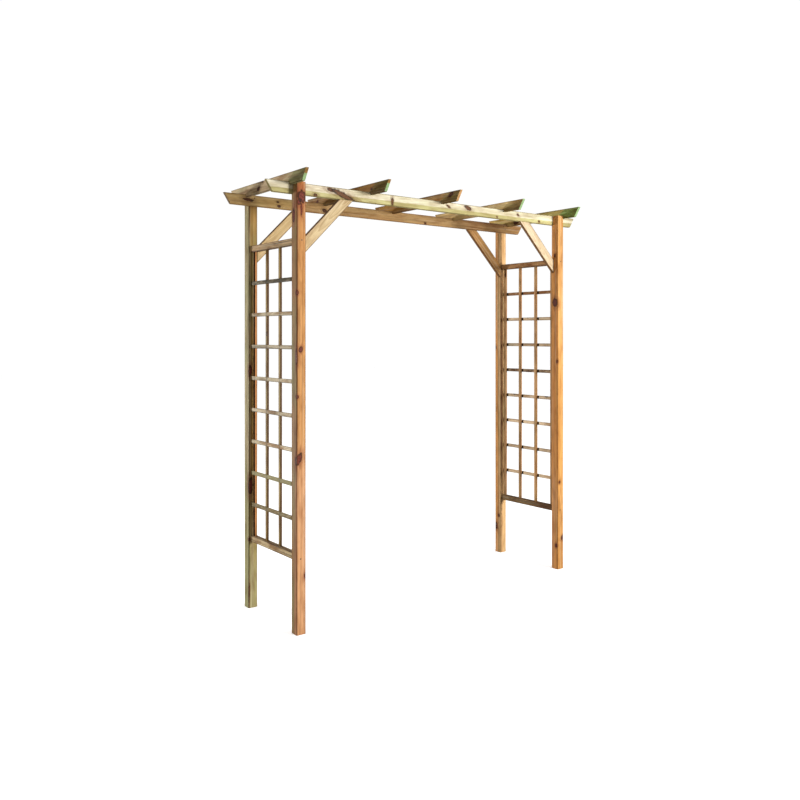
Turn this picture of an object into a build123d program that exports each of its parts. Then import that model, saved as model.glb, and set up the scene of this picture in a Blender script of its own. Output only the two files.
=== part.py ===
"""A flat-topped garden pergola in treated softwood.

Four square posts carry two long rails let into their inner faces, five rafters
lie across the rails, four braces stiffen the posts under the rails, and a
trellis panel closes each end.

Millimetres. X runs along the rails, Y from front to rear, Z up. The origin is
on the ground, in the middle of the four posts.
"""

from build123d import *
import os

os.makedirs("parts", exist_ok=True)

# Overall size, across the outer faces of the posts
FRAME_WIDTH = 2084.0
FRAME_DEPTH = 606.0
POST_HEIGHT = 2400.0

# Timber sections
POST_SECTION = 56.0
POST_ARRIS = 4.0
BOARD_DEPTH = 64.0
BOARD_THICKNESS = 20.0

# Rails, rafters and their slanted ends, whose top edge is the longer one
RAIL_LENGTH = 2400.0
RAFTER_LENGTH = 870.0
END_SLANT = 40.0
END_CORNER = 8.0
RAIL_HOUSING = 12.0
RAFTER_NOTCH = BOARD_DEPTH / 4
RAFTER_COUNT = 5
RAFTER_CLEARANCE = 3.0

# Braces at 45 degrees, measured along the post from the underside of the rail
BRACE_REACH = 326.0

# Trellis panels, three layers of lath thick
PANEL_BOTTOM = 387.0
PANEL_HEIGHT = 1718.0
LATH_THICKNESS = 10.0
BAR_HEIGHT = 37.0
LATH_HEIGHT = 22.0
LATH_COUNT = 8
LATH_PITCH = 183.0
BATTEN_WIDTH = 24.0
BATTEN_COUNT = 4
BATTEN_PITCH = 150.0

# Places that follow from the sizes above
RAIL_MIDDLE_Y = FRAME_DEPTH / 2 - POST_SECTION + RAIL_HOUSING - BOARD_THICKNESS / 2
RAIL_UNDERSIDE = POST_HEIGHT - BOARD_DEPTH
RAFTER_UNDERSIDE = POST_HEIGHT - RAFTER_NOTCH
OUTER_RAFTER_X = FRAME_WIDTH / 2 + RAFTER_CLEARANCE + BOARD_THICKNESS / 2
INNER_POST_FACE_X = FRAME_WIDTH / 2 - POST_SECTION
INNER_POST_FACE_Y = FRAME_DEPTH / 2 - POST_SECTION
PANEL_MIDDLE_X = (FRAME_WIDTH - POST_SECTION) / 2
PANEL_MIDDLE_Z = PANEL_BOTTOM + PANEL_HEIGHT / 2

SIDES = {"left": -1, "right": 1}
ENDS = {"front": -1, "rear": 1}


def save(piece, name):
    piece.part.label = name
    export_step(piece.part, f"parts/{name}.step")


def slanted_profile(length, underside):
    """The side view of a board whose ends slant in from top to bottom."""
    top = underside + BOARD_DEPTH
    with BuildSketch(mode=Mode.PRIVATE) as profile:
        with BuildLine():
            Polyline(
                (-length / 2, top),
                (length / 2, top),
                (length / 2 - END_SLANT, underside),
                (-length / 2 + END_SLANT, underside),
                close=True,
            )
        make_face()
        fillet(profile.vertices().group_by(Axis.Y)[0], END_CORNER)
    return profile.sketch


# Posts, each with a housing for its rail cut across the inner face at the top
for side, side_sign in SIDES.items():
    for end, end_sign in ENDS.items():
        post_x = side_sign * (FRAME_WIDTH - POST_SECTION) / 2
        post_y = end_sign * (FRAME_DEPTH - POST_SECTION) / 2
        with BuildPart() as post:
            with BuildSketch(Plane.XY):
                with Locations((post_x, post_y)):
                    Rectangle(POST_SECTION, POST_SECTION)
            extrude(amount=POST_HEIGHT)
            fillet(post.edges().filter_by(Axis.Z), POST_ARRIS)
            with BuildSketch(Plane.XY.offset(RAIL_UNDERSIDE)):
                with Locations((post_x, end_sign * RAIL_MIDDLE_Y)):
                    Rectangle(2 * POST_SECTION, BOARD_THICKNESS)
            extrude(amount=BOARD_DEPTH, mode=Mode.SUBTRACT)
        save(post, f"post_{end}_{side}")

# Rails, on edge in the housings and flush with the tops of the posts
for end, end_sign in ENDS.items():
    with BuildPart() as rail:
        with BuildSketch(Plane.XZ.offset(-end_sign * RAIL_MIDDLE_Y)):
            add(slanted_profile(RAIL_LENGTH, RAIL_UNDERSIDE))
        extrude(amount=BOARD_THICKNESS / 2, both=True)
    save(rail, f"rail_{end}")

# Rafters, notched over both rails, the outer two just outside the posts
for number in range(RAFTER_COUNT):
    rafter_x = OUTER_RAFTER_X * (2 * number / (RAFTER_COUNT - 1) - 1)
    with BuildPart() as rafter:
        with BuildSketch(Plane.YZ.offset(rafter_x)):
            add(slanted_profile(RAFTER_LENGTH, RAFTER_UNDERSIDE))
            with Locations(
                (-RAIL_MIDDLE_Y, RAFTER_UNDERSIDE), (RAIL_MIDDLE_Y, RAFTER_UNDERSIDE)
            ):
                Rectangle(BOARD_THICKNESS, 2 * RAFTER_NOTCH, mode=Mode.SUBTRACT)
        extrude(amount=BOARD_THICKNESS / 2, both=True)
    save(rafter, f"rafter_{number + 1}")

# Braces, flush with the inner faces of the posts, cut to fit the post and rail
brace_cut = BOARD_DEPTH * 2**0.5
for side, side_sign in SIDES.items():
    foot_x = side_sign * INNER_POST_FACE_X
    for end, end_sign in ENDS.items():
        brace_middle_y = end_sign * (INNER_POST_FACE_Y + BOARD_THICKNESS / 2)
        with BuildPart() as brace:
            with BuildSketch(Plane.XZ.offset(-brace_middle_y)):
                with BuildLine():
                    Polyline(
                        (foot_x, RAIL_UNDERSIDE - BRACE_REACH),
                        (foot_x, RAIL_UNDERSIDE - BRACE_REACH + brace_cut),
                        (foot_x - side_sign * (BRACE_REACH - brace_cut), RAIL_UNDERSIDE),
                        (foot_x - side_sign * BRACE_REACH, RAIL_UNDERSIDE),
                        close=True,
                    )
                make_face()
            extrude(amount=BOARD_THICKNESS / 2, both=True)
        save(brace, f"brace_{end}_{side}")

# Trellis panels: laths outside, battens behind them, and a pair of bars that
# sandwich the battens along the top and the bottom
bay = 2 * INNER_POST_FACE_Y
for side, side_sign in SIDES.items():
    outer_layer_x = side_sign * (PANEL_MIDDLE_X + LATH_THICKNESS)
    inner_layer_x = side_sign * (PANEL_MIDDLE_X - LATH_THICKNESS)
    batten_layer_x = side_sign * PANEL_MIDDLE_X

    with BuildPart() as lattice:
        with BuildSketch(Plane.YZ.offset(outer_layer_x)):
            with Locations((0, PANEL_MIDDLE_Z)):
                with GridLocations(0, LATH_PITCH, 1, LATH_COUNT):
                    Rectangle(bay, LATH_HEIGHT)
        extrude(amount=LATH_THICKNESS / 2, both=True)
        with BuildSketch(Plane.YZ.offset(batten_layer_x)):
            with Locations((0, PANEL_MIDDLE_Z)):
                with GridLocations(BATTEN_PITCH, 0, BATTEN_COUNT, 1):
                    Rectangle(BATTEN_WIDTH, PANEL_HEIGHT)
        extrude(amount=LATH_THICKNESS / 2, both=True)
    save(lattice, f"lattice_{side}")

    bar_layers = {"outer": outer_layer_x, "inner": inner_layer_x}
    bar_rows = {
        "top": PANEL_BOTTOM + PANEL_HEIGHT - BAR_HEIGHT / 2,
        "bottom": PANEL_BOTTOM + BAR_HEIGHT / 2,
    }
    for layer, layer_x in bar_layers.items():
        for row, row_z in bar_rows.items():
            with BuildPart() as bar:
                with BuildSketch(Plane.YZ.offset(layer_x)):
                    with Locations((0, row_z)):
                        Rectangle(bay, BAR_HEIGHT)
                extrude(amount=LATH_THICKNESS / 2, both=True)
            save(bar, f"trellis_{row}_bar_{layer}_{side}")
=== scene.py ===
"""The finished look of a flat-topped garden pergola in pressure-treated softwood.

Metres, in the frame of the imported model: X along the rails, Y from front to
rear, Z up, with the origin on the ground in the middle of the four posts.
"""

import math

import bmesh
import bpy
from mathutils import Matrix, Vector, noise


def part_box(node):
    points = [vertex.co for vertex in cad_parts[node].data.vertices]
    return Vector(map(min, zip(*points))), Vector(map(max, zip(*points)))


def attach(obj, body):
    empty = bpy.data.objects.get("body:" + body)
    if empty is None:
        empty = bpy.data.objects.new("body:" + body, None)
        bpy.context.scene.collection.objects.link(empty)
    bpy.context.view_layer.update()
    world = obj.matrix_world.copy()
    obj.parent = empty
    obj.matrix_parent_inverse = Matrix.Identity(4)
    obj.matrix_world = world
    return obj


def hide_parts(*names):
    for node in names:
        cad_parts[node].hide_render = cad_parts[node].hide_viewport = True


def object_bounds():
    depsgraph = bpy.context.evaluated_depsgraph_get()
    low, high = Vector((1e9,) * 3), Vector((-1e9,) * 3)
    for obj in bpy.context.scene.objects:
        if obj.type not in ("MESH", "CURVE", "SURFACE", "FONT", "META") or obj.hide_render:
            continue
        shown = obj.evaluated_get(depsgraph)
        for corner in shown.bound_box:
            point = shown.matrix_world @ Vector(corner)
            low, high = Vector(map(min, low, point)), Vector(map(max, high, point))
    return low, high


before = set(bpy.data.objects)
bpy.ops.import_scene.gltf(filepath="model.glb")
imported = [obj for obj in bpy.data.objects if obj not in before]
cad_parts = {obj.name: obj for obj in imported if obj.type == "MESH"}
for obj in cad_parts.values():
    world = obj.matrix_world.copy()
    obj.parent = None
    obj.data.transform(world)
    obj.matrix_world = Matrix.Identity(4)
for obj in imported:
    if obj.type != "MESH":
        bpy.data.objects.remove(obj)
cad_low, cad_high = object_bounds()


# ---------------------------------------------------------------- The posts
# Four square posts of planed, pressure-treated pine, standing on the ground.
# Each is sawn from small logs, so red heartwood shows on some faces and pale,
# green-tinted sapwood on others. A housing near the top holds the rail.

POST_ARRIS = 0.0012
TIMBER_SWAY = 0.0005
STATION_SPACING = 0.06
OUT_OF_REACH = 1000.0
MATHS = {"+": "ADD", "-": "SUBTRACT", "*": "MULTIPLY", "/": "DIVIDE", "*+": "MULTIPLY_ADD"}


def shade(red, green, blue):
    """A colour given as 0 to 255 display values, made linear for a shader."""
    linear = [((value / 255 + 0.055) / 1.055) ** 2.4 for value in (red, green, blue)]
    return (*linear, 1.0)


def feed(node, feeds):
    """Sets a node's inputs, each to a value or to another node's output."""
    for label, value in feeds.items():
        if isinstance(value, bpy.types.NodeSocket):
            node.id_data.links.new(value, node.inputs[label])
        else:
            node.inputs[label].default_value = value


def place_node(tree, kind, feeds=None, **settings):
    """A node with its settings made and its inputs fed."""
    node = tree.nodes.new(kind)
    for label, value in settings.items():
        setattr(node, label, value)
    feed(node, feeds or {})
    return node


def flow(kind, feeds, **settings):
    """The outputs of a node placed in the tree that its feeds come from."""
    tree = next(value.id_data for value in feeds.values() if isinstance(value, bpy.types.NodeSocket))
    return place_node(tree, kind, feeds, **settings).outputs


def new_group(name, tree_type, inputs, outputs):
    """An empty node group; each input is given by its default, or by its kind if it has none."""
    group = bpy.data.node_groups.new(name, tree_type)
    for label, value in inputs.items():
        kind = {float: "Float", int: "Int", str: value}.get(type(value))
        if kind is None:
            kind = "Color" if len(value) == 4 else "Vector"
        socket = group.interface.new_socket(label, in_out="INPUT", socket_type=f"NodeSocket{kind}")
        if kind != value:
            socket.default_value = value
    for label, kind in outputs.items():
        group.interface.new_socket(label, in_out="OUTPUT", socket_type=f"NodeSocket{kind}")
    entry = group.nodes.new("NodeGroupInput").outputs
    return group, entry, group.nodes.new("NodeGroupOutput")


def calc(operation, *terms):
    """The result of one Math node."""
    feeds = dict(enumerate(terms))
    return flow("ShaderNodeMath", feeds, operation=MATHS.get(operation, operation))[0]


def flip(mask):
    """One minus the mask."""
    return calc("-", 1.0, mask)


def vector_calc(operation, *terms):
    """The result of one Vector Math node; a length or a dot product is a plain value."""
    feeds = dict(enumerate(terms))
    outputs = flow("ShaderNodeVectorMath", feeds, operation=MATHS.get(operation, operation))
    return outputs[1 if operation in ("LENGTH", "DOT_PRODUCT") else 0]


def brighten(colour, factor):
    """The colour times one factor."""
    return flow("ShaderNodeVectorMath", {0: colour, "Scale": factor}, operation="SCALE")[0]


def split(vector):
    """The X, Y and Z of a vector, by name."""
    return flow("ShaderNodeSeparateXYZ", {0: vector})


def join(x, y, z):
    """A vector from its three parts."""
    return flow("ShaderNodeCombineXYZ", {0: x, 1: y, 2: z})[0]


def cloud(vector, factors, detail=2.0):
    """Soft noise from 0 to 1, with its grain size set for each direction."""
    feeds = {"Vector": vector_calc("*", vector, factors), "Scale": 1.0, "Detail": detail}
    return flow("ShaderNodeTexNoise", feeds)[0]


def ramp(value, start, end):
    """0 below start, 1 above end, and a smooth climb between them."""
    feeds = {"Value": value, "From Min": start, "From Max": end}
    return flow("ShaderNodeMapRange", feeds, interpolation_type="SMOOTHSTEP")[0]


def blend_colour(mask, first, second, blend="MIX"):
    """The first colour where the mask is 0, going over to the second where it is 1."""
    factor_socket, first_socket, second_socket, result_socket = 0, 6, 7, 2
    feeds = {factor_socket: mask, first_socket: first, second_socket: second}
    return flow("ShaderNodeMix", feeds, data_type="RGBA", blend_type=blend)[result_socket]


def knot_masks(reach, core_edges, rim, rim_fade, fade, strength):
    """A knot's core, the bark round it, and how far it pushes the rings, from its centre out."""
    core = flip(ramp(reach, *core_edges))
    from_rim = calc("ABSOLUTE", calc("-", reach, rim))
    bark = flip(ramp(from_rim, 0.05, rim_fade))
    push = calc("*", flip(ramp(reach, *fade)), strength)
    return {"Core": core, "Bark": bark, "Push": push}


MASKS = {"Core": "Float", "Bark": "Float", "Push": "Float"}


def build_growth_rings():
    """Rings about a wandering pith: long lines on the faces, arcs on the ends."""
    inputs = {
        "Position": "Vector", "Pith": (0.0, 0.05, 0.03), "Lean": 0.01, "Spacing": 0.004,
        "Push": 0.0, "Seed": 0.0,
    }
    outputs = {"Latewood": "Float", "Bands": "Float"}
    group, entry, leave = new_group("growth_rings", "ShaderNodeTree", inputs, outputs)

    moved = vector_calc("+", entry["Position"], join(entry["Seed"], 0.0, entry["Seed"]))
    wander = cloud(moved, (1.7, 0.0, 0.4), 1.0)
    ripple = cloud(moved, (7.0, 45.0, 45.0))
    parts = split(entry["Position"])
    pith = split(entry["Pith"])
    lean = calc("*", parts["X"], entry["Lean"])
    sway = calc("*+", wander, 0.030, -0.015)
    across = calc("+", calc("+", calc("-", parts["Y"], pith["Y"]), lean), sway)
    depth = calc("-", calc("-", parts["Z"], pith["Z"]), sway)
    radius = calc("SQRT", calc("+", calc("POWER", across, 2.0), calc("POWER", depth, 2.0)))
    pushed = calc("*+", ripple, 0.003, calc("+", radius, entry["Push"]))
    outward = calc("+", pushed, entry["Seed"])
    feeds = {"W": outward, "Scale": 90.0, "Detail": 0.0}
    uneven = flow("ShaderNodeTexNoise", feeds, noise_dimensions="1D")[0]
    feeds = {"W": outward, "Scale": 62.0, "Detail": 1.0}
    broad = flow("ShaderNodeTexNoise", feeds, noise_dimensions="1D")[0]
    turns = calc("*+", uneven, 1.6, calc("/", pushed, entry["Spacing"]))
    year = calc("FRACT", turns)
    latewood = calc("*", calc("POWER", year, 2.5), flip(ramp(year, 0.88, 1.0)))
    feed(leave, {"Latewood": latewood, "Bands": ramp(broad, 0.38, 0.66)})
    return group


def build_knot():
    """One branch cut through by the saw. It adds to the masks of the knots before it."""
    inputs = {
        "Position": "Vector", "Centre": (0.0, 0.0, 0.0), "Size": (0.01, 0.01, 0.01), "Slant": 0.0,
        "Core": 0.0, "Bark": 0.0, "Push": 0.0,
    }
    group, entry, leave = new_group("knot", "ShaderNodeTree", inputs, MASKS)

    parts = split(vector_calc("-", entry["Position"], entry["Centre"]))
    slid = calc("*+", parts["Z"], entry["Slant"], parts["X"])
    away = join(slid, parts["Y"], parts["Z"])
    reach = vector_calc("LENGTH", vector_calc("/", away, entry["Size"]))
    ragged = cloud(entry["Position"], (70.0, 130.0, 130.0))
    reach = calc("+", reach, calc("*+", ragged, 0.9, -0.45))
    masks = knot_masks(reach, (0.72, 1.02), 0.95, 0.34, (0.4, 3.2), 0.011)
    for label, operation in (("Core", "MAXIMUM"), ("Bark", "MAXIMUM"), ("Push", "+")):
        feed(leave, {label: calc(operation, entry[label], masks[label])})
    return group


def build_pin_knots():
    """Small knots strewn through the wood, a few to the metre."""
    inputs = {"Position": "Vector", "Seed": 0.0, "Amount": 0.3}
    group, entry, leave = new_group("pin_knots", "ShaderNodeTree", inputs, MASKS)

    room_along = 0.26
    room_across = 0.055
    moved = vector_calc("+", entry["Position"], join(entry["Seed"], entry["Seed"], 0.0))
    cells = vector_calc("*", moved, (1 / room_along, 1 / room_across, 1 / room_across))
    nearest = flow("ShaderNodeTexVoronoi", {"Vector": cells, "Scale": 1.0})
    gap = vector_calc("-", cells, nearest["Position"])
    gap = vector_calc("*", gap, (room_along / 1.5, room_across, room_across))
    chance = flow("ShaderNodeSeparateColor", {"Color": nearest["Color"]})
    size = calc("*+", chance["Green"], 0.006, 0.003)
    reach = calc("/", vector_calc("LENGTH", gap), size)
    ragged = cloud(moved, (90.0, 220.0, 220.0))
    reach = calc("+", reach, calc("*+", ragged, 0.7, -0.35))
    present = calc("LESS_THAN", chance["Red"], entry["Amount"])
    masks = knot_masks(reach, (0.7, 1.1), 1.0, 0.4, (0.5, 4.0), 0.006)
    feed(leave, {label: calc("*", mask, present) for label, mask in masks.items()})
    return group


def build_arris():
    """A mask along the long edges, where the wood is darkened, partly as painted shade."""
    inputs = {"Position": "Vector", "Half Size": (1.0, 0.03, 0.03), "Width": 0.004}
    group, entry, leave = new_group("arris", "ShaderNodeTree", inputs, {"Edge": "Float"})
    flat = vector_calc("ABSOLUTE", entry["Position"])
    inside = split(vector_calc("-", entry["Half Size"], flat))
    corner = calc("MAXIMUM", inside["Y"], inside["Z"])
    ragged = cloud(entry["Position"], (14.0, 160.0, 160.0), 3.0)
    width = calc("*", calc("+", ragged, 0.5), entry["Width"])
    reach = calc("/", corner, width)
    feed(leave, {"Edge": flip(ramp(reach, 0.3, 1.6))})
    return group


def build_treated_softwood():
    """Colour, roughness and height of planed pine that has been through the tank."""
    inputs = {
        "Position": "Vector", "Normal": "Vector", "Sap Side": (0.0, 0.0, -1.0),
        "Pith": (0.0, 0.05, 0.03), "Heartwood": shade(190, 130, 80),
        "Sapwood": shade(190, 180, 140), "Stain": shade(80, 50, 25), "Green": shade(120, 140, 80),
        "Knotwood": shade(92, 46, 26), "End Grain": shade(150, 180, 120),
        "End Heart": shade(190, 130, 80), "Tip Tone": shade(190, 130, 80),
        "Foot Tone": shade(190, 130, 80), "Seed": 0.0, "Sap Start": 0.02, "Sap Ragged": 0.010,
        "Band": 0.0, "End Split": 1.0, "Tip Start": OUT_OF_REACH, "Foot Start": OUT_OF_REACH,
        "Ends In Sap": 1.0, "Green Amount": 0.3, "Green Spread": 1.0, "Grime": 0.3, "Mottle": 0.5,
        "Edge": 0.0, "Edge Amount": 0.5, "Lean": 0.01, "Ring Spacing": 0.004,
        "Ring Strength": 0.4, "Band Strength": 0.35, "Pin Knots": 0.05, "Knot Core": 0.0,
        "Knot Bark": 0.0, "Knot Push": 0.0,
    }
    outputs = {"Color": "Color", "Roughness": "Float", "Height": "Float"}
    group, entry, leave = new_group("treated_softwood", "ShaderNodeTree", inputs, outputs)
    position = entry["Position"]

    # Knots, the placed ones together with the strewn ones
    feeds = {"Position": position, "Seed": entry["Seed"], "Amount": entry["Pin Knots"]}
    pins = flow("ShaderNodeGroup", feeds, node_tree=pin_knots)
    core = calc("MAXIMUM", entry["Knot Core"], pins["Core"])
    bark = calc("MAXIMUM", entry["Knot Bark"], pins["Bark"])
    push = calc("+", entry["Knot Push"], pins["Push"])

    # Growth rings, bent round the knots
    feeds = {label: entry[label] for label in ("Position", "Pith", "Lean", "Seed")}
    feeds = {**feeds, "Spacing": entry["Ring Spacing"], "Push": push}
    rings = flow("ShaderNodeGroup", feeds, node_tree=growth_rings)
    latewood = rings["Latewood"]

    # Heartwood inside, sapwood towards one side, with a stained band between them
    drift = vector_calc("DOT_PRODUCT", position, entry["Sap Side"])
    seeded = vector_calc("+", position, join(entry["Seed"], entry["Seed"], 0.0))
    ragged = calc("-", cloud(seeded, (3.0, 60.0, 60.0), 3.0), 0.5)
    drift = calc("-", calc("*+", ragged, entry["Sap Ragged"], drift), entry["Sap Start"])
    sap = ramp(drift, -0.0015, 0.0015)
    border = flip(ramp(calc("ABSOLUTE", calc("+", drift, 0.002)), 0.001, 0.006))
    colour = blend_colour(sap, entry["Heartwood"], entry["Sapwood"])
    colour = blend_colour(calc("*", border, entry["Band"]), colour, entry["Stain"])

    # The wood changes slowly towards its two ends
    streak = cloud(seeded, (2.2, 85.0, 85.0), 3.0)
    allowed = calc("MAXIMUM", flip(sap), entry["Ends In Sap"])
    streaked = calc("*", calc("*+", streak, 0.8, 0.2), allowed)
    for label, sign in (("Tip", 1.0), ("Foot", -1.0)):
        reached = calc("*", split(position)["X"], sign)
        reached = calc("-", reached, entry[f"{label} Start"])
        reached = calc("*", ramp(reached, 0.0, 0.3), streaked)
        colour = blend_colour(reached, colour, entry[f"{label} Tone"])

    # Long streaks of resin and treatment, and broad green patches of copper salts
    dark_streak = calc("*", ramp(streak, 0.48, 0.75), entry["Grime"])
    colour = blend_colour(dark_streak, colour, entry["Stain"])
    patch = cloud(seeded, (3.5, 14.0, 14.0), 3.0)
    green = calc("*", ramp(patch, 0.38, 0.72), entry["Green Amount"])
    green = calc("*", green, calc("MAXIMUM", sap, entry["Green Spread"]))
    colour = blend_colour(green, colour, entry["Green"])
    pale = ramp(cloud(seeded, (1.3, 90.0, 90.0)), 0.45, 0.75)
    lighter = blend_colour(0.3, colour, (0.9, 0.8, 0.62, 1.0))
    colour = blend_colour(calc("*", pale, 0.7), colour, lighter)

    # Blotches, then latewood lines, darker and redder than the wood between them
    blotches = ramp(cloud(seeded, (9.0, 38.0, 38.0), 4.0), 0.42, 0.7)
    for mask, amount, darker in (
        (blotches, "Mottle", (0.50, 0.36, 0.25, 1.0)),
        (latewood, "Ring Strength", (0.42, 0.27, 0.15, 1.0)),
        (rings["Bands"], "Band Strength", (0.50, 0.38, 0.26, 1.0)),
    ):
        colour = blend_colour(calc("*", mask, entry[amount]), colour, darker, "MULTIPLY")

    # Knots: a reddish core with its own rings, in a dark broken rim of bark
    grain_in_knot = ramp(cloud(position, (300.0, 300.0, 300.0)), 0.35, 0.7)
    knot_tone = blend_colour(grain_in_knot, entry["Knotwood"], shade(60, 22, 18))
    glow = calc("*", ramp(push, 0.0005, 0.009), 0.75)
    glow = calc("*", glow, calc("*+", latewood, 0.6, 0.4))
    colour = blend_colour(glow, colour, entry["Knotwood"])
    colour = blend_colour(calc("*", core, 0.95), colour, knot_tone)
    colour = blend_colour(calc("*", bark, 0.85), colour, shade(42, 22, 12))

    # Darkened arrises, partly painted shade
    edge = calc("*", entry["Edge"], entry["Edge Amount"])
    colour = blend_colour(edge, colour, entry["Stain"])

    # Cut ends: the rings as arcs, in wood that has drunk more of the treatment
    end_facing = calc("ABSOLUTE", split(entry["Normal"])["X"])
    above = ramp(calc("-", split(position)["Z"], entry["End Split"]), -0.003, 0.003)
    end_colour = blend_colour(above, entry["End Grain"], entry["End Heart"])
    mottled = ramp(cloud(seeded, (60.0, 60.0, 60.0), 3.0), 0.35, 0.75)
    for mask, amount in ((latewood, 0.55), (mottled, 0.35)):
        end_colour = blend_colour(calc("*", mask, amount), end_colour, entry["Stain"])
    colour = blend_colour(ramp(end_facing, 0.45, 0.7), colour, end_colour)

    # Fine fibres and short dark resin flecks over everything
    fibre = cloud(seeded, (14.0, 900.0, 900.0))
    fibre_tone = calc("*+", fibre, 0.34, 0.83)
    fleck = ramp(cloud(seeded, (24.0, 420.0, 420.0), 1.0), 0.62, 0.74)
    fibre_tone = calc("*+", fleck, -0.22, fibre_tone)
    roughness = calc("*+", core, -0.15, calc("*+", fibre, 0.18, 0.55))
    height = calc("*+", latewood, 0.35, calc("*", fibre, 0.4))
    height = calc("*+", bark, -0.6, calc("*+", core, 0.5, height))
    colour = brighten(colour, fibre_tone)
    feed(leave, {"Color": colour, "Roughness": roughness, "Height": height})
    return group


growth_rings = build_growth_rings()
knot_group = build_knot()
pin_knots = build_pin_knots()
arris_group = build_arris()
treated_softwood = build_treated_softwood()

BUMP_DEPTH = 0.0007


def new_material(name):
    """A material with its node tree and its shader."""
    material = bpy.data.materials.new(name)
    material.use_nodes = True
    return material, material.node_tree, material.node_tree.nodes["Principled BSDF"]


def new_wood(name, looks):
    """A softwood material; the colours in its looks are given as 0 to 255 display values."""
    material, tree, shader = new_material(name)
    wood = place_node(tree, "ShaderNodeGroup", node_tree=treated_softwood)
    for label, value in looks.items():
        is_colour = wood.inputs[label].type == "RGBA"
        wood.inputs[label].default_value = shade(*value) if is_colour else value
    feeds = {"Height": wood.outputs["Height"], "Distance": BUMP_DEPTH, "Strength": 0.7}
    feed(shader, {
        "Base Color": wood.outputs["Color"], "Roughness": wood.outputs["Roughness"],
        "Normal": flow("ShaderNodeBump", feeds)[0], "Specular IOR Level": 0.1,
    })
    return material, tree, wood


def timber_material(name, middle, turn, half_size, looks, knots):
    """The wood of one timber, its pattern centred on it with X along its length."""
    inverse = turn.inverted()
    if "Sap Side" in looks:
        looks = {**looks, "Sap Side": inverse @ Vector(looks["Sap Side"])}
    material, tree, wood = new_wood(name, looks)
    coordinates = place_node(tree, "ShaderNodeTexCoord").outputs
    feeds = {"Vector": coordinates["Object"], "Location": middle, "Rotation": turn.to_euler()}
    position = flow("ShaderNodeMapping", feeds, vector_type="TEXTURE")[0]
    feeds = {"Vector": coordinates["Normal"], "Rotation": turn.to_euler()}
    normal = flow("ShaderNodeMapping", feeds, vector_type="TEXTURE")[0]
    feeds = {"Position": position, "Half Size": half_size}
    edge = flow("ShaderNodeGroup", feeds, node_tree=arris_group)[0]
    feed(wood, {"Position": position, "Normal": normal, "Edge": edge})

    masks = {}
    for place, along, across, slant in knots:
        centre = inverse @ (place - middle)
        size = (along, across, across)
        feeds = {"Position": position, "Centre": centre, "Size": size, "Slant": slant, **masks}
        outputs = flow("ShaderNodeGroup", feeds, node_tree=knot_group)
        masks = {label: outputs[label] for label in MASKS}
    feed(wood, {f"Knot {label}": mask for label, mask in masks.items()})
    return material


def timber_frame(node, direction):
    """A timber's middle, the turn that lays X along it, and half its size on those axes."""
    turn = Vector((1.0, 0.0, 0.0)).rotation_difference(Vector(direction))
    corners = [turn.inverted() @ vertex.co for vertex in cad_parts[node].data.vertices]
    low, high = [Vector(map(extreme, zip(*corners))) for extreme in (min, max)]
    return turn @ ((low + high) / 2), turn, (high - low) / 2


def timber_mesh(node, middle, turn, half_size, arris, seed):
    """The node's own shape with its arrises eased and a trace of sway along its length."""
    weld = 1e-5
    flat = math.radians(0.5)
    sharp = math.radians(50)
    mesh = bpy.data.meshes.new("draft")
    shape = bmesh.new()
    shape.from_mesh(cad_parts[node].data)
    bmesh.ops.remove_doubles(shape, verts=shape.verts, dist=weld)
    bmesh.ops.dissolve_limit(
        shape, angle_limit=flat, verts=shape.verts, edges=shape.edges, use_dissolve_boundaries=False
    )
    corners = [edge for edge in shape.edges if edge.calc_face_angle(0.0) > sharp]
    bmesh.ops.bevel(
        shape, geom=corners, offset=arris, segments=3, profile=0.5, affect="EDGES",
        clamp_overlap=True,
    )
    along = turn @ Vector((1.0, 0.0, 0.0))
    stations = int(2 * half_size.x / STATION_SPACING)
    for number in range(1, stations):
        reach = (2 * number / stations - 1) * half_size.x
        everything = shape.verts[:] + shape.edges[:] + shape.faces[:]
        bmesh.ops.bisect_plane(
            shape, geom=everything, dist=weld, plane_co=middle + along * reach, plane_no=along
        )
    inverse = turn.inverted()
    for vertex in shape.verts:
        place = inverse @ (vertex.co - middle)
        for axis in (1, 2):
            drift = noise.noise(Vector((place.x * 2.6, seed, 7.0 * axis)))
            shrink = TIMBER_SWAY * (0.5 + 0.5 * drift) / half_size[axis]
            place[axis] *= 1 - shrink
        vertex.co = middle + turn @ place
    for face in shape.faces:
        face.smooth = True
    shape.to_mesh(mesh)
    shape.free()
    return mesh


def put(name, data):
    """A new object in the scene."""
    thing = bpy.data.objects.new(name, data)
    bpy.context.scene.collection.objects.link(thing)
    return thing


def bake(name, draft):
    """The finished mesh of a draft and its modifiers, in place of the draft."""
    graph = bpy.context.evaluated_depsgraph_get()
    mesh = bpy.data.meshes.new_from_object(draft.evaluated_get(graph))
    bpy.data.objects.remove(draft)
    mesh.name = name
    return mesh


def middle_of(node):
    """The middle of a node's box."""
    low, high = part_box(node)
    return (low + high) / 2


def spot(node, face, along, across):
    """A point on a face: metres from the timber's low end, and a share of the face's width."""
    low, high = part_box(node)
    face_axis = {"left": 0, "right": 0, "front": 1, "rear": 1, "top": 2}[face]
    size = high - low
    long_axis = max(range(3), key=lambda axis: size[axis])
    cross_axis = 3 - face_axis - long_axis
    place = Vector(low if face in ("left", "front") else high)
    place[long_axis] = low[long_axis] + along
    place[cross_axis] = low[cross_axis] + across * size[cross_axis]
    return place


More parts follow.
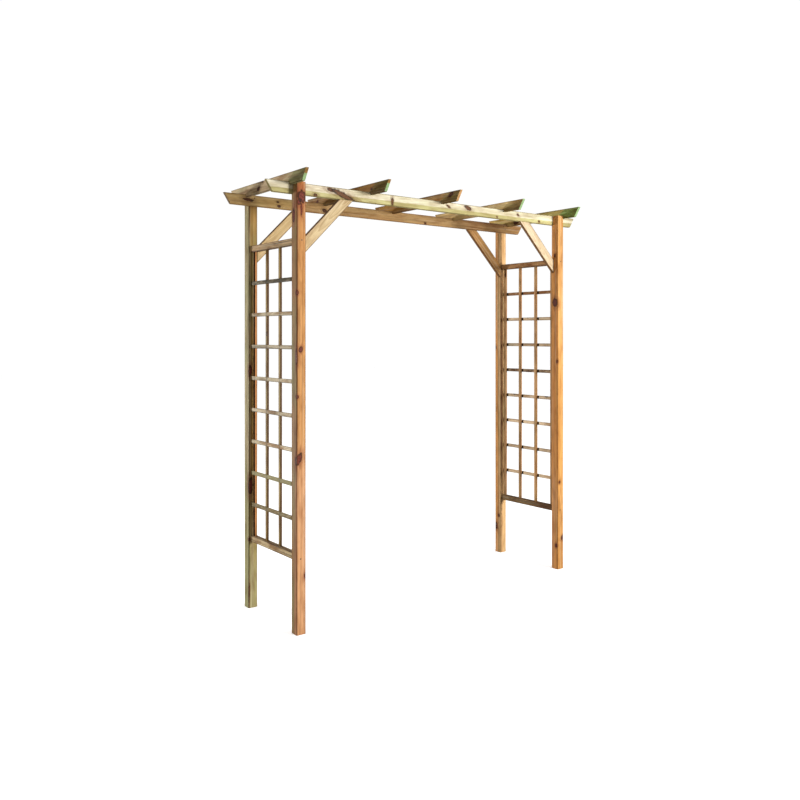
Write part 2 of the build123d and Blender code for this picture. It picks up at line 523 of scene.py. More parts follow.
def finish_timber(node, direction, arris, seed, looks, knots=None):
    """One timber from its CAD node to its finished piece, with its normals evened.

    Knots are listed by face: metres along, share across, two radii and a slant.
    """
    middle, turn, half_size = timber_frame(node, direction)
    placed = [
        (spot(node, face, along, across), *shape)
        for face, marks in (knots or {}).items()
        for along, across, *shape in marks
    ]
    mesh = timber_mesh(node, middle, turn, half_size, arris, seed)
    material = timber_material(f"{node}_wood", middle, turn, half_size, looks, placed)
    mesh.materials.append(material)
    draft = put("draft", mesh)
    draft.modifiers.new("even", "WEIGHTED_NORMAL").keep_sharp = True
    name = f"planed_{node}"
    piece = put(name, bake(name, draft))
    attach(piece, "root")
    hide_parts(node)


UPRIGHT = (0.0, 0.0, 1.0)
RED_KNOT = (132, 58, 44)

finish_timber(
    "post_front_left", UPRIGHT, POST_ARRIS, 1.0,
    {
        "Seed": 1.3, "Heartwood": (214, 157, 96), "Sapwood": (166, 126, 80),
        "Green": (146, 142, 94), "Tip Tone": (184, 106, 56), "Tip Start": 0.88,
        "Foot Tone": (232, 176, 134), "Foot Start": 0.1, "Ends In Sap": 0.0, "Green Spread": 0.0,
        "Stain": (96, 54, 22), "Knotwood": RED_KNOT, "End Grain": (176, 110, 60),
        "Sap Side": (-1.0, 0.25, 0.004), "Sap Start": 0.022, "Band": 0.85, "Green Amount": 0.7,
        "Edge Amount": 0.85, "Pith": (0.0, 0.02, 0.06), "Lean": 0.012, "Ring Strength": 0.28,
    },
    {
        "front": [
            (2.32, 0.55, 0.030, 0.022, 0.0), (2.29, 0.30, 0.016, 0.012, 0.4),
            (2.25, 0.50, 0.030, 0.005, 0.2), (1.81, 0.0, 0.012, 0.012, 0.0),
            (1.51, 0.45, 0.014, 0.011, 0.3), (1.26, 0.05, 0.010, 0.010, 0.0),
            (0.93, 0.22, 0.026, 0.019, 0.8), (0.31, 0.95, 0.015, 0.007, 0.0),
        ],
        "left": [(2.22, 0.6, 0.035, 0.010, 0.5), (1.47, 0.1, 0.040, 0.008, 0.0)],
    },
)
finish_timber(
    "post_front_right", UPRIGHT, POST_ARRIS, 2.0,
    {
        "Seed": 4.1, "Heartwood": (216, 158, 86), "Sapwood": (218, 150, 82),
        "Stain": (120, 68, 28), "Knotwood": (104, 38, 20), "End Grain": (190, 130, 72),
        "Sap Side": (-1.0, 0.1, 0.0), "Sap Start": 0.026, "Band": 0.3, "Green Amount": 0.05,
        "Grime": 0.12, "Edge Amount": 0.45, "Pith": (0.0, 0.09, -0.02), "Lean": 0.006,
        "Ring Strength": 0.22,
    },
    {
        "left": [
            (2.13, 0.5, 0.010, 0.006, 0.6), (1.81, 0.45, 0.026, 0.020, -0.5),
            (1.41, 0.1, 0.011, 0.007, 0.0), (0.16, 0.25, 0.012, 0.010, 0.0),
        ],
        "front": [(0.59, 0.3, 0.009, 0.008, 0.0), (0.21, 0.8, 0.013, 0.012, 0.4)],
    },
)
finish_timber(
    "post_rear_left", UPRIGHT, POST_ARRIS, 3.0,
    {
        "Seed": 7.7, "Heartwood": (186, 146, 82), "Sapwood": (194, 178, 132),
        "Foot Tone": (196, 192, 144), "Foot Start": 0.72, "Stain": (62, 42, 18),
        "Knotwood": RED_KNOT, "End Grain": (150, 130, 80), "Sap Side": (-1.0, 0.0, 0.0),
        "Sap Start": 0.025, "Band": 0.6, "Green": (140, 150, 90), "Green Amount": 0.45,
        "Grime": 0.25, "Edge Amount": 0.9, "Pith": (0.0, -0.05, 0.05), "Ring Strength": 0.3,
        "Pin Knots": 0.08,
    },
    {
        "front": [
            (0.71, 0.2, 0.045, 0.014, 0.2), (0.40, 0.0, 0.010, 0.009, 0.0),
            (1.38, 0.15, 0.028, 0.010, 0.3), (1.3, 0.8, 0.008, 0.007, 0.0),
            (0.09, 0.0, 0.060, 0.006, 0.0),
        ],
        "rear": [(1.6, 0.4, 0.014, 0.011, 0.3)],
    },
)
finish_timber(
    "post_rear_right", UPRIGHT, POST_ARRIS, 4.0,
    {
        "Seed": 9.2, "Heartwood": (234, 190, 132), "Sapwood": (216, 152, 86),
        "Stain": (112, 90, 46), "End Grain": (160, 110, 62), "Sap Side": (-1.0, 0.6, 0.0),
        "Sap Start": 0.024, "Band": 0.6, "Green": (132, 124, 70), "Pith": (0.0, 0.04, -0.07),
        "Lean": 0.008, "Ring Strength": 0.3, "Pin Knots": 0.06,
    },
    {
        "left": [
            (0.19, 0.8, 0.022, 0.014, 0.2), (1.5, 0.95, 0.009, 0.008, 0.0),
            (0.27, 0.3, 0.010, 0.008, 0.0),
        ],
        # The long thin front mark is a painted shadow line down the face beside the trellis panel,
        # drawn as a knot
        "front": [(1.25, 0.14, 0.860, 0.005, 0.0)], "rear": [(1.05, 0.4, 0.013, 0.012, 0.3)],
    },
)


# ---------------------------------------------------------------- The rails
# Two long boards on edge, let into the posts and flush with their tops. They
# are planed pine with slanted, rounded ends. The front one is pale sapwood
# with a green tint, the rear one browner.

BOARD_ARRIS = 0.0018
ALONG_X = (1.0, 0.0, 0.0)

finish_timber(
    "rail_front", ALONG_X, BOARD_ARRIS, 5.0,
    {
        "Seed": 11.4, "Heartwood": (202, 194, 136), "Sapwood": (242, 234, 208),
        "Stain": (112, 96, 48), "Green": (176, 180, 116), "Knotwood": (116, 72, 34),
        "Tip Tone": (130, 116, 62), "Tip Start": 0.93, "End Grain": (136, 120, 60),
        "Sap Side": (0.0, 0.0, 1.0), "Sap Start": -0.006, "Band": 0.1, "Green Amount": 0.4,
        "Green Spread": 0.55, "Grime": 0.22, "Edge Amount": 0.85, "Pith": (0.0, 0.05, -0.01),
        "Lean": 0.014, "Ring Strength": 0.2,
    },
    {
        "front": [
            (0.48, 0.4, 0.036, 0.030, 2.2), (0.40, 0.75, 0.020, 0.010, 0.6),
            (0.30, 0.1, 0.012, 0.009, 0.0), (0.82, 0.42, 0.008, 0.020, 0.0),
            (1.25, 0.6, 0.011, 0.009, 1.2), (1.41, 0.7, 0.022, 0.014, 0.9),
            (1.66, 0.2, 0.006, 0.006, 0.0), (1.85, 0.65, 0.010, 0.008, 0.5),
            (2.05, 0.25, 0.007, 0.006, 0.0),
        ],
    },
)
finish_timber(
    "rail_rear", ALONG_X, BOARD_ARRIS, 6.0,
    {
        "Seed": 14.9, "Heartwood": (212, 170, 114), "Sapwood": (210, 176, 114),
        "Stain": (92, 58, 28), "Green": (150, 140, 80), "Tip Tone": (118, 70, 36),
        "Tip Start": 0.45, "End Grain": (110, 84, 44), "Sap Side": (-1.0, 0.0, 0.0),
        "Sap Start": 0.75, "Green Amount": 0.15, "Edge Amount": 0.6, "Pith": (0.0, -0.04, -0.02),
        "Ring Strength": 0.35,
    },
    {
        "front": [
            (0.15, 0.55, 0.030, 0.008, 1.2), (0.67, 0.3, 0.015, 0.010, 0.4),
            (1.47, 0.15, 0.008, 0.007, 0.0),
        ],
    },
)


# -------------------------------------------------------------- The rafters
# Five boards on edge across the rails, notched over both and screwed down.
# Planed pine, olive-brown on the faces; the cut ends soaked up more of the
# green treatment, all but the middle one.

ALONG_Y = (0.0, 1.0, 0.0)
MINT_END = (160, 192, 134)
BROWN_END = (158, 118, 62)
ORANGE_END = (206, 158, 104)

ALL_MINT = 1.0
ALL_HEART = -1.0

# The sapwood column is the tone of the painted shadow on each rafter's front part
rafter_tones = {
    "rafter_1": ((210, 184, 144), (160, 152, 102), (146, 156, 108), 0.6, 0.004),
    "rafter_2": ((154, 110, 54), (126, 106, 56), (116, 122, 66), 0.25, 0.012),
    "rafter_3": ((164, 118, 52), (148, 122, 64), (122, 118, 60), 0.2, ALL_HEART),
    "rafter_4": ((238, 202, 138), (196, 164, 104), (146, 152, 88), 0.3, ALL_MINT),
    "rafter_5": ((226, 180, 102), (162, 172, 88), (116, 160, 84), 0.55, ALL_MINT),
}
rafter_knots = {
    "rafter_1": {"left": [(0.52, 0.4, 0.014, 0.010, 0.4)]},
    "rafter_2": {"left": [(0.75, 0.5, 0.012, 0.010, 0.4)]},
    "rafter_3": {"left": [(0.085, 0.72, 0.016, 0.013, 1.0)]},
    "rafter_4": {"right": [(0.30, 0.5, 0.012, 0.010, 0.4)]},
    "rafter_5": {"left": [(0.58, 0.4, 0.026, 0.016, 0.6)]},
}
for number, (node, tones) in enumerate(rafter_tones.items()):
    heart, sap, green, green_amount, end_split = tones
    finish_timber(
        node, ALONG_Y, BOARD_ARRIS, 7.0 + number,
        {
            "Seed": 20.0 + 3.7 * number, "Heartwood": heart, "Sapwood": sap,
            "Stain": (72, 52, 24), "Green": green, "End Grain": MINT_END,
            "End Heart": ORANGE_END if end_split == ALL_HEART else BROWN_END,
            # Sapwood here fills the front, lower part below a slanting line, as a painted shadow of
            # the front rail
            "End Split": end_split, "Sap Side": (0.0, -1.0, -1.4), "Sap Start": 0.27, "Band": 0.2,
            "Green Amount": green_amount, "Grime": 0.45, "Mottle": 0.7, "Edge Amount": 0.6,
            "Pith": (0.0, 0.05, -0.02 + 0.012 * number), "Lean": 0.02 - 0.008 * number,
            "Ring Strength": 0.45, "Pin Knots": 0.12,
        },
        rafter_knots[node],
    )


# --------------------------------------------------------------- The braces
# Four short boards at 45 degrees between the posts and the rails, flush with
# the inner faces of the posts. Clean, pale planed pine, cut to fit at both
# ends.

DARK_NARROW_FACE = (84, 60, 34)
TAN_EDGE = (140, 100, 60)

# One narrow face of each brace takes the second tone: dark on the upper face of the left braces, tan
# on the lower face of the right
brace_looks = {
    "brace_front_left": ((214, 190, 146), DARK_NARROW_FACE, 1.0, 0.0275, 0.55),
    "brace_front_right": ((220, 198, 164), TAN_EDGE, -1.0, 0.0300, 0.45),
    "brace_rear_left": ((208, 180, 130), DARK_NARROW_FACE, 1.0, 0.0295, 0.5),
    "brace_rear_right": ((176, 130, 74), TAN_EDGE, -1.0, 0.0290, 0.5),
}
for number, (node, looks) in enumerate(brace_looks.items()):
    heart, narrow_face_tone, narrow_face_side, narrow_face_start, ring_strength = looks
    towards = 1.0 if node.endswith("left") else -1.0
    finish_timber(
        node, (towards, 0.0, 1.0), BOARD_ARRIS, 13.0 + number,
        {
            "Seed": 41.0 + 2.9 * number, "Heartwood": heart, "Sapwood": narrow_face_tone,
            "Stain": (96, 62, 30), "Green": (190, 176, 120), "Knotwood": (150, 104, 60),
            "End Grain": (150, 120, 76), "Sap Side": Vector((-1.0, 0.0, narrow_face_side)).normalized(),
            "Sap Start": narrow_face_start, "Sap Ragged": 0.003, "Green Amount": 0.12, "Grime": 0.12,
            "Mottle": 0.35, "Edge Amount": 0.85, "Pith": (0.0, 0.04, 0.01 * number), "Lean": 0.03,
            "Ring Strength": ring_strength, "Band Strength": 0.15, "Pin Knots": 0.12,
        },
    )


# ------------------------------------------------- The bars of the trellis
# Pairs of sawn bars sandwich the battens along the top and the bottom of each
# panel. They are rougher than the planed timber, with softened ends that butt
# against the posts.

LATH_ARRIS = 0.0014

bar_tones = {
    "top_bar_outer_left": ((208, 172, 126), 1.0),
    "top_bar_inner_left": ((204, 170, 130), 0.9),
    "bottom_bar_outer_left": ((216, 192, 144), 0.9),
    "bottom_bar_inner_left": ((236, 216, 184), 0.2),
    "top_bar_outer_right": ((184, 138, 88), 0.6),
    "top_bar_inner_right": ((190, 142, 92), 0.6),
    "bottom_bar_outer_right": ((132, 98, 62), 0.9),
    "bottom_bar_inner_right": ((136, 100, 62), 0.9),
}
for number, (row, (tone, grime)) in enumerate(bar_tones.items()):
    finish_timber(
        f"trellis_{row}", ALONG_Y, LATH_ARRIS, 21.0 + number,
        {
            "Seed": 64.3 + 4.3 * number, "Heartwood": tone, "Sapwood": tone,
            "Stain": (64, 42, 26), "Green": (130, 128, 84), "End Grain": (120, 92, 64),
            "Grime": grime, "Mottle": 1.0, "Edge Amount": 0.75, "Pith": (0.0, 0.03, 0.02),
            "Lean": 0.03, "Ring Strength": 0.5, "Pin Knots": 0.35,
        },
    )


# -------------------------------------------- The laths and the battens
# Thin sawn strips: eight laths across each panel outside four upright
# battens, nailed where they cross. No two have quite the same tone, and none
# is quite straight.


def loft(shape, rings, smooth=False):
    """Joins each ring of points to the next with faces."""
    for first, second in zip(rings, rings[1:]):
        for index in range(len(first)):
            after = (index + 1) % len(first)
            face = shape.faces.new((first[index], first[after], second[after], second[index]))
            face.smooth = smooth


def close_shape(shape, mesh):
    """Turns the faces outward and hands the shape over to the mesh."""
    bmesh.ops.recalc_face_normals(shape, faces=shape.faces)
    shape.to_mesh(mesh)
    shape.free()
    return mesh


def lath_shape(name, length, width, thickness, tone_seed):
    """One strip lying along X, in the middle of the frame, for the tree to repeat."""
    sections = 14
    eased = 0.0012
    corner_steps = 3
    shape = bmesh.new()
    outline = []
    for corner in range(4):
        side_y = 1 if corner in (0, 3) else -1
        side_z = 1 if corner in (0, 1) else -1
        for step in range(corner_steps + 1):
            angle = (corner + step / corner_steps) * math.pi / 2
            outline.append((
                side_y * (width / 2 - eased) + eased * math.cos(angle),
                side_z * (thickness / 2 - eased) + eased * math.sin(angle),
            ))
    rings = []
    for section in range(sections + 1):
        along = length * (section / sections - 0.5)
        bend = noise.noise(Vector((along * 6, tone_seed, 0.0)))
        narrowing = 1 - 0.02 * (1 + noise.noise(Vector((along * 14, tone_seed, 5.0)))) / 2
        if section in (0, sections):
            narrowing *= 0.94
        rings.append([
            shape.verts.new((along, y * narrowing + 0.0004 * bend, z * narrowing))
            for y, z in outline
        ])
    loft(shape, rings, smooth=True)
    shape.faces.new(reversed(rings[0]))
    shape.faces.new(rings[-1])
    return close_shape(shape, bpy.data.meshes.new(name))


def dress(geometry, material):
    """The two last nodes of a tree: makes the copies real and gives them their material."""
    solid = flow("GeometryNodeRealizeInstances", {"Geometry": geometry})[0]
    return flow("GeometryNodeSetMaterial", {"Geometry": solid, "Material": material})[0]


def build_lath_rack():
    """Geometry Nodes: repeats one strip along a line, each tilted a little and toned at random."""
    inputs = {
        "Geometry": "Geometry", "Count": 4, "Start": (0.0, 0.0, 0.0), "Step": (0.0, 0.0, 0.1),
        "Turn": (0.0, 0.0, 0.0), "Tilt": 0.002, "Seed": 1, "Material": "Material",
    }
    outputs = {"Geometry": "Geometry"}
    group, entry, leave = new_group("lath_rack", "GeometryNodeTree", inputs, outputs)
    place = place_node(group, "GeometryNodeInputPosition").outputs[0]
    feeds = {"Geometry": entry["Geometry"], "Name": "strip_place", "Value": place}
    kept = flow(
        "GeometryNodeStoreNamedAttribute", feeds, data_type="FLOAT_VECTOR", domain="POINT"
    )[0]
    feeds = {"Count": entry["Count"], "Start Location": entry["Start"], "Offset": entry["Step"]}
    line = flow("GeometryNodeMeshLine", feeds, mode="OFFSET")[0]
    feeds = {"Points": line, "Instance": kept, "Rotation": entry["Turn"]}
    strips = flow("GeometryNodeInstanceOnPoints", feeds)[0]
    low_tilt = calc("*", entry["Tilt"], -1.0)
    feeds = {
        0: join(0.0, low_tilt, low_tilt), 1: join(0.0, entry["Tilt"], entry["Tilt"]),
        "Seed": entry["Seed"],
    }
    wobble = flow("FunctionNodeRandomValue", feeds, data_type="FLOAT_VECTOR")[0]
    tilted = flow("GeometryNodeRotateInstances", {"Instances": strips, "Rotation": wobble})[0]
    tone = flow("FunctionNodeRandomValue", {"Seed": entry["Seed"]}, data_type="FLOAT_VECTOR")[0]
    feeds = {"Geometry": tilted, "Name": "strip_tone", "Value": tone}
    toned = flow(
        "GeometryNodeStoreNamedAttribute", feeds, data_type="FLOAT_VECTOR", domain="INSTANCE"
    )[0]
    feed(leave, {"Geometry": dress(toned, entry["Material"])})
    return group


def grow(name, mesh, tree, values):
    """Runs a Geometry Nodes tree on a mesh and returns the result as a plain mesh."""
    draft = put("draft", mesh)
    modifier = draft.modifiers.new("tree", "NODES")
    modifier.node_group = tree
    for item in tree.interface.items_tree:
        if item.in_out == "INPUT" and item.name in values:
            modifier[item.identifier] = values[item.name]
    return bake(name, draft)


def strip_material(
    name, looks, spread, rim_start, edge_shade_amount, edge_tone,
    rear_batten_shade=0.0, painted_batten_shadow=0.0, dark_rows=(),
):
    """Sawn strips, each with its own part of the pattern, its own tone and painted shade."""
    material, tree, wood = new_wood(name, looks)
    place = place_node(tree, "ShaderNodeAttribute", attribute_name="strip_place").outputs["Vector"]
    tone = place_node(tree, "ShaderNodeAttribute", attribute_name="strip_tone").outputs["Vector"]
    position = vector_calc("+", place, vector_calc("*", tone, (23.0, 0.03, 0.03)))
    feed(wood, {"Position": position, "Normal": (0.0, 0.0, 1.0)})
    factor = calc("*+", split(tone)["X"], 2 * spread, 1 - spread)
    colour = brighten(wood.outputs["Color"], factor)

    # Both long edges are darkened with painted shade, one more than the other
    parts = split(place)
    forward = calc("*", parts["Y"], -1.0)
    lower = ramp(forward, rim_start - 0.003, rim_start + 0.002)
    upper = ramp(parts["Y"], rim_start, rim_start + 0.003)
    edge_shade = calc("MAXIMUM", lower, calc("*", upper, 0.7))
    edge_shade = calc("*", edge_shade, edge_shade_amount)
    colour = blend_colour(edge_shade, colour, shade(58, 40, 22))

    # Painted shade on the rearmost left batten; its front edge is painted red-orange as lit
    upright = split(place_node(tree, "ShaderNodeTexCoord").outputs["Object"])
    rear_shade = ramp(upright["Y"], 1.2 * BATTEN_PITCH, 1.3 * BATTEN_PITCH)
    rear_shade = calc("*", rear_shade, rear_batten_shade)
    colour = blend_colour(rear_shade, colour, (0.13, 0.09, 0.06, 1.0), "MULTIPLY")
    front = ramp(forward, BATTEN_WIDTH / 2 - 0.0015, BATTEN_WIDTH / 2 - 0.0003)
    front_tone = blend_colour(rear_shade, shade(*edge_tone), shade(214, 144, 88))
    colour = blend_colour(calc("*", front, 0.8), colour, front_tone)

    # A few rows are much darker than the rest, in blotches
    blotch = ramp(cloud(position, (22.0, 90.0, 90.0), 3.0), 0.3, 0.6)
    blotch = calc("*+", blotch, 0.55, 0.45)
    for height, row_tone in dark_rows:
        away = calc("ABSOLUTE", calc("-", upright["Z"], height))
        here = calc("*", calc("LESS_THAN", away, LATH_HEIGHT), blotch)
        colour = blend_colour(here, colour, shade(*row_tone))

    # Painted shadow on the laths beside each batten, where the batten shades them
    bays = calc("/", parts["X"], BATTEN_PITCH)
    corner = calc("*", calc("-", calc("FRACT", bays), 0.5), BATTEN_PITCH)
    corner = calc("ABSOLUTE", calc("+", corner, BATTEN_WIDTH / 2 + BATTEN_SHADOW_WIDTH / 2))
    corner = flip(ramp(corner, 0.45 * BATTEN_SHADOW_WIDTH, 0.6 * BATTEN_SHADOW_WIDTH))
    colour = blend_colour(calc("*", corner, painted_batten_shadow), colour, shade(34, 20, 10))
    feed(tree.nodes["Principled BSDF"], {"Base Color": colour})
    return material


lath_rack = build_lath_rack()
LATH_COUNT = 8
BATTEN_COUNT = 4
LATH_HEIGHT = 0.022
LATH_PITCH = 0.183
BATTEN_WIDTH = 0.024
BATTEN_PITCH = 0.150
BATTEN_SHADOW_WIDTH = 0.013
RIM_WIDTH = 0.003
LATH_GAP = 0.001

# The last column sets the painted shade along the strips' long edges
strip_tones = {
    "left": ((240, 224, 190), (176, 148, 90), (96, 62, 28), 0.75),
    "right": ((250, 222, 184), (216, 168, 114), (170, 122, 74), 0.4),
}
dark_rows = {
    "left": {7: (72, 62, 38), 1: (156, 146, 100), 0: (124, 108, 68)},
    "right": {7: (134, 86, 44), 4: (90, 60, 34)},
}
for side, (lath_tone, batten_tone, edge_tone, edge_shade_amount) in strip_tones.items():
    panel_low, panel_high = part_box(f"lattice_{side}")
    bay = panel_high.y - panel_low.y
    layer = (panel_high.x - panel_low.x) / 2
    outward = -1.0 if side == "left" else 1.0
    lath_x = middle_of(f"trellis_top_bar_outer_{side}").x
    batten_x = lath_x - outward * layer
    panel_middle = middle_of(f"lattice_{side}").z
    lowest_row = panel_middle - LATH_PITCH * (LATH_COUNT - 1) / 2
    strip_looks = {
        "Stain": (70, 48, 28), "Green": (128, 124, 82), "Sap Side": (1.0, 0.0, 0.0),
        "Sap Start": 12.0, "Green Amount": 0.4, "Grime": 0.7 if side == "left" else 0.5,
        "Mottle": 1.0 if side == "left" else 0.8, "Pith": (0.0, 0.04, 0.03), "Lean": 0.0,
        "Ring Strength": 0.5, "Pin Knots": 0.4,
    }
    lath_wood = strip_material(
        f"lath_wood_{side}",
        {**strip_looks, "Seed": 90.0 + outward, "Heartwood": lath_tone, "Sapwood": lath_tone},
        0.3, LATH_HEIGHT / 2 - RIM_WIDTH, edge_shade_amount, lath_tone,
        # Painted shadow beside the battens, strong on the right panel, light on the left
        painted_batten_shadow=1.0 if side == "right" else 0.3,
        dark_rows=[(lowest_row + row * LATH_PITCH, tone) for row, tone in dark_rows[side].items()],
    )
    batten_wood = strip_material(
        f"batten_wood_{side}",
        {**strip_looks, "Seed": 96.0 + outward, "Heartwood": batten_tone, "Sapwood": batten_tone},
        0.22, BATTEN_WIDTH / 2 - RIM_WIDTH, edge_shade_amount, edge_tone,
        # Painted shade over the rearmost left batten
        rear_batten_shade=1.0 if side == "left" else 0.0,
    )
    laths = grow(
        f"trellis_laths_{side}",
        lath_shape("lath", bay - LATH_GAP, LATH_HEIGHT, layer, 1.0),
        lath_rack,
        {
            "Count": LATH_COUNT, "Start": (lath_x, 0.0, lowest_row),
            "Step": (0.0, 0.0, LATH_PITCH), "Turn": (math.pi / 2, 0.0, math.pi / 2),
            "Tilt": 0.002, "Seed": 3, "Material": lath_wood,
        },
    )
    battens = grow(
        f"trellis_battens_{side}",
        lath_shape("batten", panel_high.z - panel_low.z, BATTEN_WIDTH, layer, 2.0),
        lath_rack,
        {
            "Count": BATTEN_COUNT,
            "Start": (batten_x, -BATTEN_PITCH * (BATTEN_COUNT - 1) / 2, panel_middle),
            "Step": (0.0, BATTEN_PITCH, 0.0), "Turn": (0.0, math.pi / 2, 0.0), "Tilt": 0.0008,
            "Seed": 8, "Material": batten_wood,
        },
    )
    for mesh in (laths, battens):
        piece = put(mesh.name, mesh)
        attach(piece, "root")
        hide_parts(f"lattice_{side}")


# --------------------------------------------------------------- The fixings
# Countersunk wood screws with a cross drive hold the rails, the rafters and
# the trellis panels; small round-headed nails pin the laths to the battens.
# All are steel with a dull brown coating.


def turned_head(name, profile, sides, cross=None):
    """A head turned from its profile of radius and height, with or without a cross drive."""
    shape = bmesh.new()
    turns = [2 * math.pi * side / sides for side in range(sides)]
    rings = [
        [
            shape.verts.new((radius * math.cos(turn), radius * math.sin(turn), height))
            for turn in turns
        ]
        for radius, height in profile
    ]
    loft(shape, rings)
    shape.faces.new(reversed(rings[0]))
    if cross is None:
        shape.faces.new(rings[-1])
    else:
        arm, half_width, depth = cross
        top = profile[-1][1]
        quarter = [(arm, -half_width), (arm, half_width), (half_width, half_width)]
        outline = []
        for turn in range(4):
            outline += quarter
            quarter = [(-y, x) for x, y in quarter]
        mouth = [shape.verts.new((x, y, top)) for x, y in outline]
        pit = [shape.verts.new((0.7 * x, 0.7 * y, top - depth)) for x, y in outline]
        loft(shape, [mouth, pit])
        shape.faces.new(pit)
        loops = rings[-1] + mouth
        edges = [
            edge for edge in shape.edges
            if all(vertex in loops for vertex in edge.verts) and len(edge.link_faces) == 1
        ]
        bmesh.ops.triangle_fill(shape, edges=edges, use_beauty=True)
    return close_shape(shape, bpy.data.meshes.new(name))


def build_fixing_tree():
    """Geometry Nodes: one head on each point, facing out, turned at random about its axis."""
    inputs = {
        "Geometry": "Geometry", "Head": "Object", "Size": 1.0, "Seed": 1, "Material": "Material",
    }
    outputs = {"Geometry": "Geometry"}
    group, entry, leave = new_group("fixings", "GeometryNodeTree", inputs, outputs)
    head = flow("GeometryNodeObjectInfo", {"Object": entry["Head"]})["Geometry"]
    facing = place_node(
        group, "GeometryNodeInputNamedAttribute", {"Name": "facing"}, data_type="FLOAT_VECTOR"
    ).outputs["Attribute"]
    outward = flow("FunctionNodeAlignRotationToVector", {"Vector": facing}, axis="Z")[0]
    feeds = {"Points": entry["Geometry"], "Instance": head, "Rotation": outward}
    heads = flow("GeometryNodeInstanceOnPoints", {**feeds, "Scale": entry["Size"]})[0]
    least, most, result = 2, 3, 1
    feeds = {least: 0.0, most: math.tau, "Seed": entry["Seed"]}
    spin = flow("FunctionNodeRandomValue", feeds, data_type="FLOAT")[result]
    feeds = {"Instances": heads, "Rotation": join(0.0, 0.0, spin), "Local Space": True}
    driven = flow("GeometryNodeRotateInstances", feeds)[0]
    feed(leave, {"Geometry": dress(driven, entry["Material"])})
    return group


def build_coated_steel():
    """Dull brown coated steel, scuffed in random patches."""
    material, tree, shader = new_material("coated_steel")
    place = place_node(tree, "ShaderNodeTexCoord").outputs["Object"]
    scuff = ramp(cloud(place, (900.0, 900.0, 900.0)), 0.45, 0.75)
    colour = blend_colour(scuff, shade(62, 46, 32), shade(120, 100, 76))
    roughness = calc("*+", scuff, 0.25, 0.4)
    feed(shader, {"Base Color": colour, "Roughness": roughness, "Metallic": 0.7})
    return material


def add_fixings(name, head, places, seed):
    """All the heads of one kind as one piece; places holds each one's point and facing."""
    points = bpy.data.meshes.new("points")
    points.from_pydata([place for place, facing in places], [], [])
    direction = points.attributes.new("facing", "FLOAT_VECTOR", "POINT")
    for number, (place, facing) in enumerate(places):
        direction.data[number].vector = facing
    pattern = put("pattern", head)
    values = {"Head": pattern, "Seed": seed, "Material": coated_steel}
    mesh = grow(name, points, fixing_tree, values)
    bpy.data.objects.remove(pattern)
    piece = put(name, mesh)
    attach(piece, "root")


fixing_tree = build_fixing_tree()
coated_steel = build_coated_steel()
screw_head = turned_head(
    "screw_head",
    [(0.0022, -0.0030), (0.0042, -0.0004), (0.0042, -0.0001), (0.0040, 0.0)],
    24, cross=(0.0019, 0.0005, 0.0016),
)
nail_head = turned_head(
    "nail_head",
    [(0.0008, -0.0030), (0.0008, -0.0008), (0.0017, -0.0004), (0.0016, 0.0), (0.0009, 0.0003)],
    10,
)

# Screws through the posts into the bars, and through the rails into the posts
screws = []
for side, side_sign in (("left", -1), ("right", 1)):
    for end, end_sign in (("front", -1), ("rear", 1)):
        post_low, post_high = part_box(f"post_{end}_{side}")
        rail_low, rail_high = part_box(f"rail_{end}")
        outer_y = post_low.y if end == "front" else post_high.y
        inner_y = rail_high.y if end == "front" else rail_low.y
        outer_x = post_low.x if side == "left" else post_high.x
        for row, offset in (("top", 0.003), ("bottom", -0.004)):
            x = middle_of(f"post_{end}_{side}").x + offset
            z = middle_of(f"trellis_{row}_bar_outer_{side}").z + offset
            screws.append(((x, outer_y, z), (0, end_sign, 0)))
        for inward, drop in ((0.016, 0.038), (0.033, 0.017)):
            place = (outer_x - side_sign * inward, inner_y, rail_high.z - drop)
            screws.append((place, (0, -end_sign, 0)))

# Screws down through the rafters into the rails
for number in range(1, 6):
    rafter_low, rafter_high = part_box(f"rafter_{number}")
    for end in ("front", "rear"):
        place = (middle_of(f"rafter_{number}").x, middle_of(f"rail_{end}").y, rafter_high.z)
        screws.append((place, (0, 0, 1)))
add_fixings("timber_screws", screw_head, screws, 5)

# Nails where the laths and the bars cross the battens
nails = []
for side, outward in (("left", -1), ("right", 1)):
    panel_low, panel_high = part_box(f"lattice_{side}")
    outer_face = panel_low.x if side == "left" else panel_high.x
    for batten in range(BATTEN_COUNT):
        y = BATTEN_PITCH * (batten - (BATTEN_COUNT - 1) / 2)
        for lath in range(LATH_COUNT):
            z = middle_of(f"lattice_{side}").z + LATH_PITCH * (lath - (LATH_COUNT - 1) / 2)
            nails.append(((outer_face, y, z), (outward, 0, 0)))
        for row in ("top", "bottom"):
            for layer, facing in (("outer", outward), ("inner", -outward)):
                bar = f"trellis_{row}_bar_{layer}_{side}"
                bar_low, bar_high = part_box(bar)
                face_x = bar_high.x if facing > 0 else bar_low.x
                nails.append(((face_x, y, middle_of(bar).z), (facing, 0, 0)))
add_fixings("trellis_nails", nail_head, nails, 6)


# ---------------------------------------------------------------- The studio
# A plain pale floor, a white surround and three lamps: a soft one in front and
# to the right, a smaller one low at the rear left, and a broad one overhead.
# The camera is at standing eye height, in front and to the left.

FLOOR_REACH = 30.0
FLOOR_BOUNCE = 0.38
FLOOR_SEEN = 0.93
FLOOR_LIFT = 0.34
SURROUND = 0.30
SURROUND_SEEN = 1.02

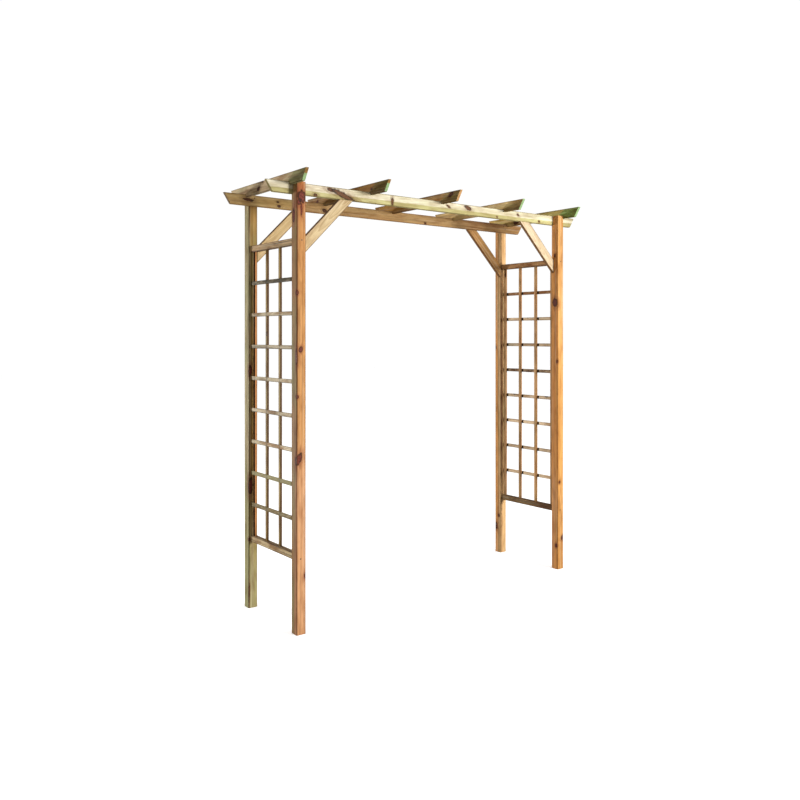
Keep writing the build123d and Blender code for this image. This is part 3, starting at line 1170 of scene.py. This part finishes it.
floor_shape = bmesh.new()
bmesh.ops.create_grid(floor_shape, x_segments=8, y_segments=8, size=FLOOR_REACH)
floor_mesh = bpy.data.meshes.new("floor")
floor_shape.to_mesh(floor_mesh)
floor_shape.free()
floor = put("studio_floor", floor_mesh)
floor_paint, floor_tree, floor_shader = new_material("studio_floor_paint")
looked_at = place_node(floor_tree, "ShaderNodeLightPath").outputs["Is Camera Ray"]
feed(floor_shader, {
    "Base Color": calc("*+", looked_at, FLOOR_SEEN - FLOOR_BOUNCE, FLOOR_BOUNCE),
    "Emission Color": calc("*", looked_at, FLOOR_LIFT), "Emission Strength": 1.0,
    "Roughness": 0.9, "Specular IOR Level": 0.1,
})
floor_mesh.materials.append(floor_paint)

world = bpy.data.worlds.new("white_surround")
bpy.context.scene.world = world
world.use_nodes = True
seen = place_node(world.node_tree, "ShaderNodeLightPath").outputs["Is Camera Ray"]
strength = calc("*+", seen, SURROUND_SEEN - SURROUND, SURROUND)
feed(world.node_tree.nodes["Background"], {"Color": (1.0, 1.0, 1.0, 1.0), "Strength": strength})


def aim_lamp(name, kind, place, target, **settings):
    """A lamp that looks at one point."""
    data = bpy.data.lights.new(name, kind)
    for label, value in settings.items():
        setattr(data, label, value)
    lamp = put(name, data)
    lamp.location = place
    lamp.rotation_euler = (Vector(target) - Vector(place)).to_track_quat("-Z", "Y").to_euler()
    lamp.visible_camera = False


middle_of_all = (cad_low + cad_high) / 2
aim_lamp("front_softbox", "AREA", (2.4, -5.5, 2.1), middle_of_all, size=1.4, energy=390.0)
aim_lamp("rear_left_softbox", "AREA", (-4.2, 5.2, 1.0), middle_of_all, size=0.7, energy=300.0)
aim_lamp(
    "overhead_lamp", "SUN", (0.0, 0.0, 5.0), (0.0, 0.3, 0.0), energy=1.5,
    angle=math.radians(50),
)

VIEW_TURN = 0.6515
VIEW_DROP = -0.0787
LENS = 36.757
SENSOR = 36.0
EYE = Vector((-3.219, -4.055, 1.5755))
camera_data = bpy.data.cameras.new("camera")
camera_data.lens = LENS
camera_data.sensor_width = SENSOR
camera_data.shift_y = VIEW_DROP
camera = put("camera", camera_data)
camera.location = EYE
camera.rotation_euler = (math.pi / 2, 0.0, -VIEW_TURN)
bpy.context.scene.camera = camera
bpy.context.scene.view_settings.view_transform = "Standard"
